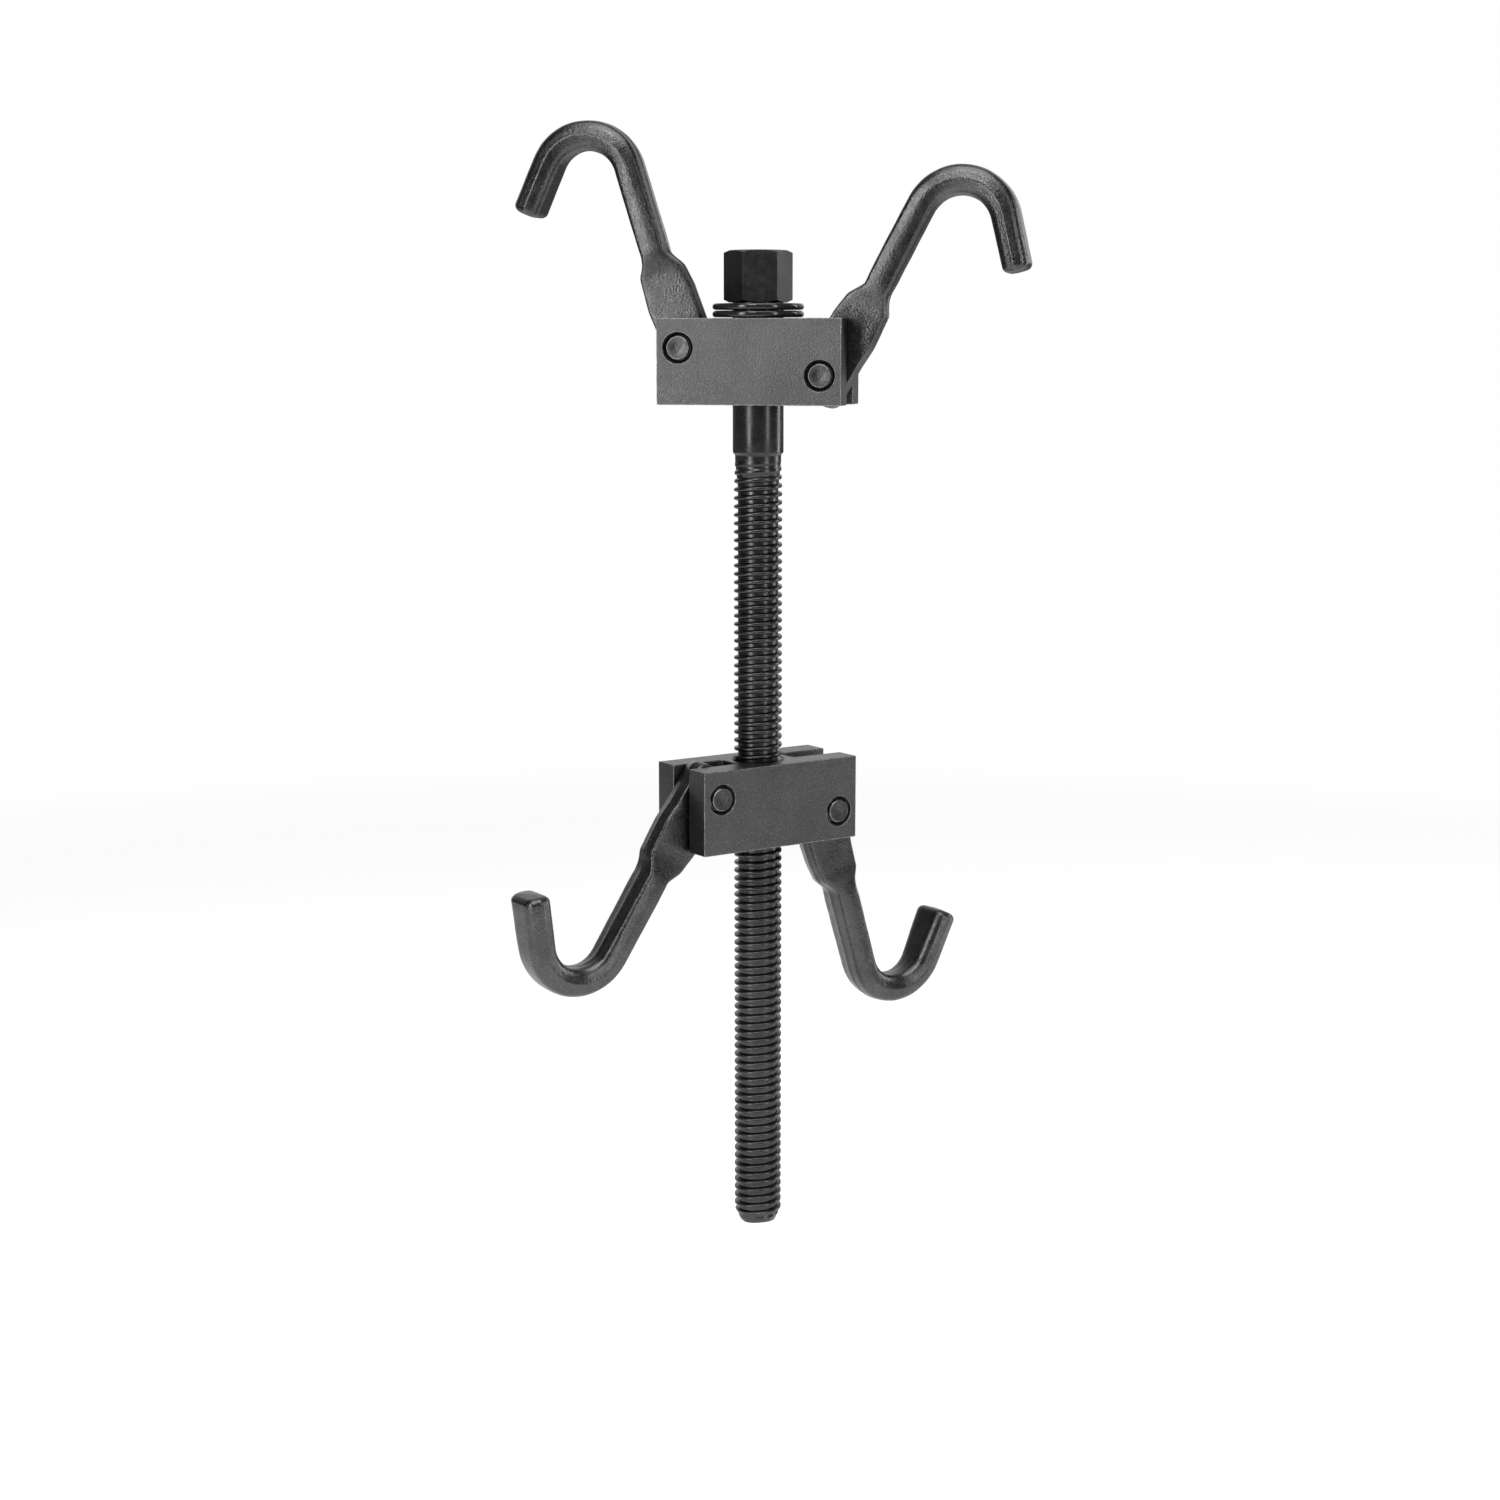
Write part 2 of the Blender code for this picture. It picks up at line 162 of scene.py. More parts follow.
def steel(name, look):
    material = bpy.data.materials.new(name)
    material.use_nodes = True
    tree = material.node_tree
    shader = tree.nodes["Principled BSDF"]
    shader.inputs["Metallic"].default_value = look["metallic"]
    spot = addNode(tree, "ShaderNodeTexCoord").outputs["Object"]

    # grain: fine pits, then slower waves in the surface
    grain = addNode(tree, "ShaderNodeTexNoise", {"Scale": 1 / (look["grain"] * mm), "Detail": 2.0,
                                                 "Roughness": 0.6}, {"Vector": spot})
    waves = addNode(tree, "ShaderNodeTexNoise", {"Scale": 1 / (look["waves"] * mm), "Detail": 3.0},
                    {"Vector": spot})
    clouds = addNode(tree, "ShaderNodeTexNoise", {"Scale": 1 / (look["clouds"] * mm), "Detail": 4.0,
                                                  "Roughness": 0.55}, {"Vector": spot})

    tone = addNode(tree, "ShaderNodeMapRange", {"From Min": 0.3, "From Max": 0.7},
                   {"Value": clouds.outputs[0]})
    body = addNode(tree, "ShaderNodeMix", {"data_type": "RGBA", 6: linear(look["dark"]),
                                           7: linear(look["light"])}, {0: tone.outputs[0]})
    # painted glints: pale specks of the bare colour mixed into the grain, standing in for the grain catching
    # the light
    sparkle = addNode(tree, "ShaderNodeMapRange", {"From Min": 0.55, "From Max": 0.7,
                                                   "To Max": look["sparkle"]}, {"Value": grain.outputs[0]})
    speckled = addNode(tree, "ShaderNodeMix", {"data_type": "RGBA", 7: linear(look["bareAndGlint"])},
                       {0: sparkle.outputs[0], 6: body.outputs[2]})
    # the pale edges are painted: partly rubbed bare metal, partly a painted highlight
    edges = edgeWearAndHighlight(tree, look["edge"])
    painted = addNode(tree, "ShaderNodeMix", {"data_type": "RGBA", 7: linear(look["bareAndGlint"])},
                      {0: edges, 6: speckled.outputs[2]})
    tree.links.new(painted.outputs[2], shader.inputs["Base Color"])

    rough = addNode(tree, "ShaderNodeMapRange", {"From Min": 0.3, "From Max": 0.7, "To Min": look["smooth"],
                                                 "To Max": look["rough"]}, {"Value": waves.outputs[0]})
    tree.links.new(rough.outputs[0], shader.inputs["Roughness"])

    deep = addNode(tree, "ShaderNodeBump", {"Strength": look["waveBump"], "Distance": relief["waves"] * mm},
                   {"Height": waves.outputs[0]})
    fine = addNode(tree, "ShaderNodeBump", {"Strength": look["grainBump"], "Distance": relief["grain"] * mm},
                   {"Height": grain.outputs[0], "Normal": deep.outputs[0]})
    tree.links.new(fine.outputs[0], shader.inputs["Normal"])
    return material


# forged, shot-blasted and blackened steel: a charcoal satin whose grain is flecked with painted pale glints,
# with pale corners that are partly rubbed bare and partly a painted highlight
forgedSteel = steel("forged steel, shot-blasted and blackened", {
    "metallic": 1.0, "dark": "#464646", "light": "#545454", "bareAndGlint": "#b0b0b0",
    "grain": 0.7,                   # real shot marks are about 0.3 mm; drawn coarser so that they show
    "waves": 3.2, "clouds": 14, "sparkle": 0.14, "smooth": 0.24, "rough": 0.34,
    "grainBump": 1.8, "waveBump": 0.14,
    "edge": {"reach": 0.8, "full": 0.95, "patch": 2.5, "least": 0.05, "most": 0.75},
})

# bar sawn, milled and black-oxided: an even satin grey-black with painted pale glints in its grain and crisp
# pale edges, partly rubbed bare and partly a painted highlight
milledSteel = steel("milled bar steel, black oxide", {
    "metallic": 1.0, "dark": "#4c4c4c", "light": "#575757", "bareAndGlint": "#c0c0c0",
    "grain": 0.55,                  # oxide crystals are far finer; drawn as coarse as fine sandpaper
    "waves": 2.2, "clouds": 22, "sparkle": 0.16, "smooth": 0.34, "rough": 0.42,
    "grainBump": 1.7, "waveBump": 0.03,
    "edge": {"reach": 0.5, "full": 0.965, "patch": 1.6, "least": 0.15, "most": 0.9},
})

# rolled thread, phosphated and wiped with oil: soft highlights on the crests over black roots
threadSteel = steel("rolled thread steel, phosphated and oiled", {
    "metallic": 1.0, "dark": "#3c3c3c", "light": "#484848", "bareAndGlint": "#8c8c8c",
    "grain": 0.5,                   # phosphate crystals, drawn coarser than the real 0.02 mm
    "waves": 3.0, "clouds": 18, "sparkle": 0.1, "smooth": 0.26, "rough": 0.36,
    "grainBump": 0.2, "waveBump": 0.05,
    "edge": {"reach": 0.2, "full": 0.9, "patch": 2.0, "least": 0.0, "most": 0.3},
})

# turned shank, phosphated and oiled: near black and wet-looking, highlights run along it
oiledSteel = steel("turned shank steel, phosphated and oiled", {
    "metallic": 0.0, "dark": "#0f0f0f", "light": "#171717", "bareAndGlint": "#6c6c6c",
    "grain": 0.5,                   # phosphate crystals, drawn coarser than the real 0.02 mm
    "waves": 4.0, "clouds": 18, "sparkle": 0.1, "smooth": 0.2, "rough": 0.32,
    "grainBump": 0.12, "waveBump": 0.03,
    "edge": {"reach": 0.25, "full": 0.9, "patch": 2.0, "least": 0.0, "most": 0.3},
})

# the head was forged, trimmed and oxided but isn't oiled: a darker satin than the yokes
headSteel = steel("forged hexagon, black oxide", {
    "metallic": 1.0, "dark": "#3c3c3c", "light": "#484848", "bareAndGlint": "#949494",
    "grain": 0.5,                   # real oxide is far finer; drawn coarser so that it shows
    "waves": 2.5, "clouds": 9, "sparkle": 0.14, "smooth": 0.34, "rough": 0.44,
    "grainBump": 0.3, "waveBump": 0.06,
    "edge": {"reach": 0.45, "full": 0.96, "patch": 2.0, "least": 0.05, "most": 0.5},
})

# hardened and blackened washers, polished by turning against each other
washerSteel = steel("hardened washer steel, blackened", {
    "metallic": 0.0, "dark": "#111111", "light": "#1a1a1a", "bareAndGlint": "#7c7c7c",
    "grain": 0.5,                   # real oxide is far finer; drawn coarser so that it shows
    "waves": 3.0, "clouds": 12, "sparkle": 0.08, "smooth": 0.12, "rough": 0.22,
    "grainBump": 0.1, "waveBump": 0.02,
    "edge": {"reach": 0.4, "full": 0.94, "patch": 2.0, "least": 0.0, "most": 0.3},
})

# ground pin with a turned end: a little brighter than the block it is pressed into
pinSteel = steel("ground pin steel, blackened", {
    "metallic": 1.0, "dark": "#3e3e3e", "light": "#505050", "bareAndGlint": "#bcbcbc",
    "grain": 0.5,                   # real oxide is far finer; drawn coarser so that it shows
    "waves": 1.8, "clouds": 5, "sparkle": 0.2, "smooth": 0.3, "rough": 0.42,
    "grainBump": 0.7, "waveBump": 0.05,
    "edge": {"reach": 0.35, "full": 0.96, "patch": 1.5, "least": 0.2, "most": 0.9},
})
print("materials made")


screw = {
    "pitch": 3.175, "crestRadius": 9.1, "depth": 1.5, "crestFlat": 1.0, "rootFlat": 1.1, "lip": 0.2,
    "tipRadius": 6.8, "tipLength": 5.0,
    "neckRadius": 8.65, "neckLength": 2.2, "runOut": 10.5,
    "shankRadius": 9.525, "shankLength": 56.0, "shankChamfer": 0.8,
    "headHeight": 19.0, "acrossFlats": 22.2, "headChamfer": 25, "headTurn": 17.4, "headRoot": 2.0,
    "stepsPerTurn": 64,
}


# the radius of the thread's outline, and how far the run-out lifts its root to the neck
def threadRadius(height, profileRadius, threadTop):
    if height < screw["tipLength"]:
        limit = mix(screw["tipRadius"], screw["crestRadius"], max(0.0, height) / screw["tipLength"])
        return min(profileRadius, limit)
    lift = min(1.0, max(0.0, (height - threadTop + screw["runOut"]) / screw["runOut"]))
    return mix(profileRadius, screw["neckRadius"], lift)


def makeScrew():
    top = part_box("forcing_screw")[1].z / mm
    underHead = top - screw["headHeight"]
    shankEnd = underHead - screw["shankLength"]
    threadTop = shankEnd - screw["neckLength"]
    steps, pitch = screw["stepsPerTurn"], screw["pitch"]
    root = screw["crestRadius"] - screw["depth"]
    flank = (pitch - screw["crestFlat"] - screw["rootFlat"]) / 2
    lip = screw["lip"]
    crest, climb = screw["crestRadius"], screw["rootFlat"] + flank
    profile = [
        (root, 0.0), (root, screw["rootFlat"]), (crest - lip, climb - lip / 2), (crest, climb + lip),
        (crest, climb + screw["crestFlat"] - lip), (crest - lip, pitch - flank + lip / 2),
    ]
    bm = bmesh.new()
    start = -2 * pitch
    turns = math.ceil((threadTop - start) / pitch) + 2
    rows = []
    for n in range(turns * steps + 1):
        angle = 2 * math.pi * n / steps
        row = []
        for profileRadius, rise in profile:
            height = start + pitch * n / steps + rise
            radius = threadRadius(height, profileRadius, threadTop)
            if height < 0:
                radius = screw["tipRadius"] * max(0.0, 1 + height / pitch)
                if height < -pitch:
                    radius = 0.0
                height = 0.0
            height = min(height, threadTop)
            row.append(bm.verts.new((radius * math.cos(angle), radius * math.sin(angle), height)))
        rows.append(row)
    columns = len(profile)
    for n in range(len(rows) - 1):
        for j in range(columns - 1):
            bm.faces.new((rows[n][j], rows[n + 1][j], rows[n + 1][j + 1], rows[n][j + 1]))
        if n + 1 + steps < len(rows):
            bm.faces.new((rows[n][-1], rows[n + 1][-1], rows[n + 1 + steps][0], rows[n + steps][0]))
    bmesh.ops.remove_doubles(bm, verts=bm.verts, dist=0.002)
    bmesh.ops.dissolve_degenerate(bm, dist=0.001, edges=bm.edges)

    toMetres(bm)
    putPiece("rolledThread", meshFrom("rolledThread", bm), Matrix.Identity(4), threadSteel, "screw",
             "forcing_screw", 50)


# the plain shank between the thread and the head, with a small shoulder at its foot
def makeShank():
    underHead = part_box("forcing_screw")[1].z / mm - screw["headHeight"]
    foot = underHead - screw["shankLength"]
    neckFoot = foot - screw["neckLength"]
    radius, neck, chamfer = screw["shankRadius"], screw["neckRadius"], screw["shankChamfer"]
    bm = bmesh.new()
    rings = turnedRings(bm, [
        (radius, underHead + screw["headRoot"]), (radius, foot + 14), (radius, foot + chamfer + 0.2),
        (radius - 0.08, foot + chamfer - 0.1), (neck + 0.25, foot + 0.05), (neck + 0.05, foot - 0.15),
        (neck, foot - 0.5), (neck, neckFoot), (neck - 0.4, neckFoot - 0.2),
    ], screw["stepsPerTurn"])
    bm.faces.new(rings[0])
    bm.faces.new(rings[-1])
    toMetres(bm)
    putPiece("turnedShank", meshFrom("turnedShank", bm), Matrix.Identity(4), oiledSteel, "screw",
             "forcing_screw", 50)


# the hexagon's corners are cut by a cone at both ends
def makeHead():
    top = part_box("forcing_screw")[1].z / mm
    flats = screw["acrossFlats"] / 2
    circle = flats - 0.3
    samples = 72
    heights = (top - screw["headHeight"], top)
    bm = bmesh.new()
    rings = [[], [], [], []]
    for i in range(samples):
        angle = 2 * math.pi * i / samples
        reach = flats / math.cos(angle % (math.pi / 3) - math.pi / 6)
        at = angle + math.radians(screw["headTurn"])
        fall = (reach - circle) * math.tan(math.radians(screw["headChamfer"]))
        for ring, radius, height in zip(rings, (circle, reach, reach, circle),
                                        (heights[0], heights[0] + fall, heights[1] - fall, heights[1])):
            ring.append(bm.verts.new((radius * math.cos(at), radius * math.sin(at), height)))
    for low, high in zip(rings, rings[1:]):
        for i in range(samples):
            follow = (i + 1) % samples
            bm.faces.new((low[i], low[follow], high[follow], high[i]))
    bm.faces.new(rings[0])
    bm.faces.new(rings[-1])
    toMetres(bm)
    putPiece("forgedHexHead", meshFrom("forgedHexHead", bm), Matrix.Identity(4), headSteel, "screw",
             "forcing_screw", 20)


makeHead()
makeShank()
makeScrew()
print("screw made")


washer = {"radius": 17.0, "hole": 10.025, "edge": 1.0, "holeEdge": 0.4, "steps": 96}


def makeWasher(name, body, node):
    low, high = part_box(node)
    middle = (low.z + high.z) / 2
    half = (high.z - low.z) / 2 / mm
    edge, inner = washer["edge"], washer["holeEdge"]
    profile = [(washer["hole"], -half + inner), (washer["hole"], half - inner)]
    profile += arc((washer["hole"] + inner, half - inner), inner, 180, 90, 3)
    profile += arc((washer["radius"] - edge, half - edge), edge, 90, 0, 6)
    profile += arc((washer["radius"] - edge, edge - half), edge, 0, -90, 6)
    profile += arc((washer["hole"] + inner, inner - half), inner, 270, 180, 3)
    bm = bmesh.new()
    turnedRings(bm, profile, washer["steps"])
    bmesh.ops.remove_doubles(bm, verts=bm.verts, dist=0.001)
    toMetres(bm)
    putPiece(name, meshFrom(name, bm), Matrix.Translation((0, 0, middle)), washerSteel, body,
             node)


makeWasher("rolledWasherUpper", "upper_washer", "thrust_washer_upper")
makeWasher("rolledWasherLower", "lower_washer", "thrust_washer_lower")
print("washers made")


yoke = {
    "length": 69.85, "width": 31.75, "edge": 0.35, "edgeSteps": 2,
    "slotWidth": 10.6, "slotInner": 13.0, "slotEndRound": 1.5,
    "pinFromEnd": 8.1, "pinHole": 5.05, "seatRadius": 5.7, "seatDepth": 1.1,
    "shankBore": 9.875, "threadBore": 9.45, "boreChamfer": 0.9, "steps": 64,
    "overcut": 5,                    # how far the cutters run past the faces that they open
}
quarterTurn = Matrix.Rotation(math.radians(90), 4, "X")     # lays a turned shape's axis front to back


def cutterObject(bm, place):
    toMetres(bm)
    cutter = bpy.data.objects.new("cutter", meshFrom("cutter", bm))
    bpy.context.scene.collection.objects.link(cutter)
    cutter.data.shade_smooth()
    cutter.matrix_world = place
    return cutter


def roundCutter(profile, place, steps):
    bm = bmesh.new()
    rings = turnedRings(bm, profile, steps)
    bm.faces.new(rings[0])
    bm.faces.new(rings[-1])
    return cutterObject(bm, place)


def slotCutter(side, height):
    bm = bmesh.new()
    half, inner, corner = yoke["slotWidth"] / 2, yoke["slotInner"], yoke["slotEndRound"]
    outer = yoke["length"] / 2 + yoke["overcut"]
    outline = [(outer, half), (outer, -half)]
    outline += arc((inner + corner, corner - half), corner, 270, 180, 4)
    outline += arc((inner + corner, half - corner), corner, 180, 90, 4)
    low = [bm.verts.new((side * x, y, -height)) for x, y in outline]
    high = [bm.verts.new((side * x, y, height)) for x, y in outline]
    for i in range(len(outline)):
        follow = (i + 1) % len(outline)
        bm.faces.new((low[i], low[follow], high[follow], high[i]))
    bm.faces.new(low)
    bm.faces.new(high)
    return cutterObject(bm, Matrix.Identity(4))


# cuts the mesh with every cutter, then breaks its edges
def carved(name, mesh, cutters):
    block = bpy.data.objects.new(name, mesh)
    bpy.context.scene.collection.objects.link(block)
    block.data.shade_smooth()
    for cutter in cutters:
        boolean = block.modifiers.new("cut", "BOOLEAN")
        boolean.object = cutter
        boolean.solver = "EXACT"
    bevel = block.modifiers.new("edges", "BEVEL")
    bevel.width = yoke["edge"] * mm
    bevel.segments = yoke["edgeSteps"]
    bevel.limit_method = "ANGLE"
    bevel.angle_limit = math.radians(40)
    weigh = block.modifiers.new("flatFaces", "WEIGHTED_NORMAL")
    weigh.weight = 100
    bpy.context.view_layer.update()
    graph = bpy.context.evaluated_depsgraph_get()
    made = bpy.data.meshes.new_from_object(block.evaluated_get(graph), preserve_all_data_layers=True,
                                           depsgraph=graph)
    made.name = name
    for unwanted in [block, *cutters]:
        bpy.data.objects.remove(unwanted, do_unlink=True)
    return made


def makeYoke(name, level, bore):
    node = level + "_yoke"
    low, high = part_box(node)
    middle = (low.z + high.z) / 2
    half = (high.z - low.z) / 2 / mm
    leftPin = Vector(joints[level + "_left_hook_swing"]["pos_m"])
    rightPin = Vector(joints[level + "_right_hook_swing"]["pos_m"])
    across = rightPin - leftPin
    turn = Matrix.Translation((0, 0, middle)) @ Matrix.Rotation(math.atan2(across.y, across.x), 4, "Z")

    bm = bmesh.new()
    bmesh.ops.create_cube(bm, size=1.0)
    bmesh.ops.scale(bm, vec=(yoke["length"], yoke["width"], 2 * half), verts=bm.verts)
    toMetres(bm)
    mesh = meshFrom(name, bm)
    lip = bore + yoke["boreChamfer"]
    cutters = [roundCutter([(lip + 2, half + 2), (lip, half), (bore, half - yoke["boreChamfer"]),
                            (bore, yoke["boreChamfer"] - half), (lip, -half), (lip + 2, -half - 2)],
                           Matrix.Identity(4), yoke["steps"])]
    for side, pin in ((-1, leftPin), (1, rightPin)):
        cutters.append(slotCutter(side, half + yoke["overcut"]))
        height = (pin.z - middle) / mm
        reach = yoke["length"] / 2 - yoke["pinFromEnd"]
        place = Matrix.Translation((side * reach * mm, 0, height * mm)) @ quarterTurn
        face = yoke["width"] / 2
        hole, seat = yoke["pinHole"], yoke["seatRadius"]
        cutters.append(roundCutter([(seat, face + yoke["overcut"]), (seat, face - yoke["seatDepth"]),
                                    (hole, face - yoke["seatDepth"] - 0.4), (hole, -face - yoke["overcut"])],
                                   place, yoke["steps"] // 2))
    made = carved(name, mesh, cutters)
    putPiece(name, made, turn, milledSteel, node, node, None)
    return turn


upperYokePlace = makeYoke("milledYokeUpper", "upper", yoke["shankBore"])
lowerYokePlace = makeYoke("milledYokeLower", "lower", yoke["threadBore"])
print("yokes made")


pin = {
    "radius": 4.75, "neck": 4.3, "neckLength": 1.6, "chamfer": 0.25, "rearChamfer": 0.6,
    "frontStand": 0.15, "rearStand": 1.8, "centreDip": 0.4, "steps": 48,
}


def makePin(name, level, side, yokePlace):
    node = f"{level}_{side}_pin"
    axisPoint = yokePlace.inverted() @ Vector(joints[f"{level}_{side}_hook_swing"]["pos_m"])
    front = yoke["width"] / 2 + pin["frontStand"]
    rear = -yoke["width"] / 2 - pin["rearStand"]
    flat, rearFlat = pin["neck"] - pin["chamfer"], pin["radius"] - pin["rearChamfer"]
    neck, radius, dip = pin["neck"], pin["radius"], pin["centreDip"]
    neckEnd = front - pin["neckLength"]
    profile = [
        (0.01, front - dip), (0.45 * flat, front - dip * 0.7), (flat - 0.3, front), (flat, front - 0.02),
        (neck, front - pin["chamfer"]), (neck, neckEnd), (radius, neckEnd - 0.3),
        (radius, rear + pin["rearChamfer"]), (rearFlat, rear), (0.01, rear),
    ]
    bm = bmesh.new()
    turnedRings(bm, profile, pin["steps"])
    bmesh.ops.remove_doubles(bm, verts=bm.verts, dist=0.03)
    toMetres(bm)
    place = yokePlace @ Matrix.Translation((axisPoint.x, 0, axisPoint.z)) @ quarterTurn
    putPiece(name, meshFrom(name, bm), place, pinSteel, level + "_yoke", node)


for level, yokePlace in (("upper", upperYokePlace), ("lower", lowerYokePlace)):
    for side in ("left", "right"):
        makePin(f"{level}{side.title()}GroundPin", level, side, yokePlace)
print("pins made")


# x runs out from the screw, z up the arm from the pin; edges are (height, x) pairs
hook = {
    "innerEdge": ((-10.5, -7.7), (3, -8.2), (8, -10.0), (22, -9.3), (30, -7.7), (35.8, -3.6), (70, -3.65)),
    "outerEdge": ((-10.5, 9.3), (9, 9.8), (16, 10.6), (29.5, 10.0), (33.5, 7.6), (36.5, 6.7), (70, 6.65)),
    "halfThickness": ((-10.5, 4.4), (27.5, 4.4), (31, 4.8), (36, 6.2), (70, 6.3)),
    "corner": ((-10.5, 0.8), (28, 0.9), (36, 1.3), (50, 1.6), (70, 2.2)),
    "crown": ((-10.5, 0.0), (30, 0.0), (40, 0.3), (70, 0.4)),
    "flash": ((-10.5, 0.02), (20, 0.04), (38, 0.14), (70, 0.14)),
    "draftAngle": ((-10.5, 11.0), (30, 11.0), (40, 4.5), (70, 4.0)),
    "shoulderBlend": 1.7,
    "tangEnd": -10.5, "tangCorner": 4.0, "closeStep": 1.1,
    "bendHeight": 70.0, "bendRadius": 16.8, "bendAngle": 138.5, "bendHalfWidth": 5.55, "bendSteps": 40,
    "bendCorner": 4.0, "bendCrown": 0.45, "spreadFrom": 0.35,
    "noseLength": 20.5, "noseRound": 2.6, "noseBulge": 0.3, "noseHalfWidth": 5.0, "noseHalfThickness": 8.5,
    "pinHole": 5.15, "holeSteps": 48, "closedLean": 3.0, "sizeBlend": 4, "longestEdge": 3.2,
    "ripple": 0.11, "rippleSize": 7.0, "dent": 0.035, "dentSize": 2.4,
}
sectionKeys = ("halfThickness", "corner", "crown", "flash", "draftAngle")


# one quarter of a section, from the parting line round to the middle of the flat face
def quarter(half, thick, corner, crown, flash, draftAngle):
    draft = math.radians(draftAngle)
    corner = min(corner, 0.8 * thick, 0.8 * half)
    sideTop = thick - corner * (1 - math.sin(draft))
    start = (half - math.tan(draft) * sideTop, sideTop)
    centre = (start[0] - corner * math.cos(draft), start[1] - corner * math.sin(draft))
    ridge, foot = min(0.35, 0.2 * thick), min(0.65, 0.35 * thick)
    points = [(half + flash, 0.0), (half + flash, ridge), (half - math.tan(draft) * foot, foot),
              ((half + start[0]) / 2 - 0.1 * flash, (foot + sideTop) / 2)]
    points += arc(centre, corner, draftAngle, 90, 5)
    points += [(centre[0] * 0.5, thick + crown * 0.75), (0.0, thick + crown)]
    return points


def section(*sizes):
    first = quarter(*sizes)
    second = [(-x, y) for x, y in reversed(first[:-1])]
    third = [(-x, -y) for x, y in first[1:]]
    fourth = [(x, -y) for x, y in reversed(first[1:-1])]
    return first + second + third + fourth


# (centre x, centre z, heading from +z, section) down the whole forging
def hookStations():
    stations = []
    step = hook["closeStep"]

    def upright(height, trim=0.0):
        inner = rounded(hook["innerEdge"], height, hook["shoulderBlend"])
        outer = rounded(hook["outerEdge"], height, hook["shoulderBlend"])
        sizes = [rounded(hook[key], height, hook["sizeBlend"]) for key in sectionKeys]
        stations.append(((inner + outer) / 2, height, 0.0, section((outer - inner) / 2 - trim, *sizes)))

    for i in range(9):
        angle = math.radians(90 * i / 8)
        upright(hook["tangEnd"] + hook["tangCorner"] * (1 - math.cos(angle)),
                hook["tangCorner"] * (1 - math.sin(angle)))
    height = hook["tangEnd"] + hook["tangCorner"] + step
    while height < hook["bendHeight"] - step / 2:
        upright(height)
        height += step if 6 < height < 48 else 2.5 * step

    last = {key: hook[key][-1][1] for key in ("innerEdge", "outerEdge", *sectionKeys)}
    armCentre = (last["innerEdge"] + last["outerEdge"]) / 2
    armHalf = (last["outerEdge"] - last["innerEdge"]) / 2
    radius, bend = hook["bendRadius"], math.radians(hook["bendAngle"])
    straight = hook["noseLength"] - hook["noseRound"]
    spreadStart, spreadEnd = radius * bend * hook["spreadFrom"], radius * bend + straight

    # from the middle of the bend the bar is hammered flatter and wider towards its nose
    def spread(along):
        share = min(1.0, max(0.0, (along - spreadStart) / (spreadEnd - spreadStart)))
        return share * share * (3 - 2 * share)

    for i in range(hook["bendSteps"] + 1):
        heading = bend * i / hook["bendSteps"]
        grown = min(1.0, 3 * i / hook["bendSteps"])
        share = spread(radius * heading)
        half = mix(mix(armHalf, hook["bendHalfWidth"], grown), hook["noseHalfWidth"], share)
        stations.append((armCentre + radius - radius * math.cos(heading),
                         hook["bendHeight"] + radius * math.sin(heading), heading,
                         section(half, mix(last["halfThickness"], hook["noseHalfThickness"], share),
                                 mix(last["corner"], hook["bendCorner"], grown),
                                 mix(last["crown"], hook["bendCrown"], grown),
                                 last["flash"] * (1 - i / hook["bendSteps"]),
                                 mix(last["draftAngle"], 0.0, i / hook["bendSteps"]))))
    endX, endZ, heading, _ = stations[-1]

    def nose(along, shrink, left):
        share = spread(radius * bend + along)
        stations.append((endX + along * math.sin(heading), endZ + along * math.cos(heading), heading,
                         section(mix(hook["bendHalfWidth"], hook["noseHalfWidth"], share) - shrink,
                                 mix(last["halfThickness"], hook["noseHalfThickness"], share) - shrink,
                                 hook["bendCorner"], hook["bendCrown"] * left, 0.0, 0.0)))

    for i in range(1, 7):
        nose(straight * i / 6, 0.0, 1.0)
    for i in range(1, 9):
        angle = math.radians(90 * i / 8)
        nose(straight + hook["noseRound"] * math.sin(angle), hook["noseRound"] * (1 - math.cos(angle)),
             1 - i / 8)
    return stations


def forgedHookMesh(name, seed):
    bm = bmesh.new()
    rings = []
    for x, z, heading, outline in hookStations():
        c, s = math.cos(heading), math.sin(heading)
        rings.append([bm.verts.new((x + a * c, d, z - a * s)) for a, d in outline])
    count = len(rings[0])
    for low, high in zip(rings, rings[1:]):
        for i in range(count):
            follow = (i + 1) % count
            bm.faces.new((low[i], low[follow], high[follow], high[i]))
    bm.faces.new(rings[0])
    # the nose ends in a low dome
    centre = sum((v.co for v in rings[-1]), Vector()) / count
    heading = math.radians(hook["bendAngle"])
    outward = Vector((math.sin(heading), 0, math.cos(heading)))
    inner = []
    for v in rings[-1]:
        inner.append(bm.verts.new(centre + (v.co - centre) * 0.5 + outward * hook["noseBulge"] * 0.75))
    tip = bm.verts.new(centre + outward * hook["noseBulge"])
    for i in range(count):
        follow = (i + 1) % count
        bm.faces.new((rings[-1][i], rings[-1][follow], inner[follow], inner[i]))
        bm.faces.new((inner[i], inner[follow], tip))
    bmesh.ops.recalc_face_normals(bm, faces=bm.faces)
    longEdges = [e for e in bm.edges if e.calc_length() > hook["longestEdge"]]
    bmesh.ops.subdivide_edges(bm, edges=longEdges, cuts=1, use_grid_fill=True)
    bm.normal_update()

    # die and hammer leave slow waves and small dents
    offset = Vector((seed * 37.0, seed * 11.0, seed * 5.0))
    for v in bm.verts:
        wave = noise.noise(v.co / hook["rippleSize"] + offset) * hook["ripple"]
        dent = noise.noise(v.co / hook["dentSize"] + offset) * hook["dent"]
        v.co += v.normal * (wave + dent)
    toMetres(bm)
    return meshFrom(name, bm)


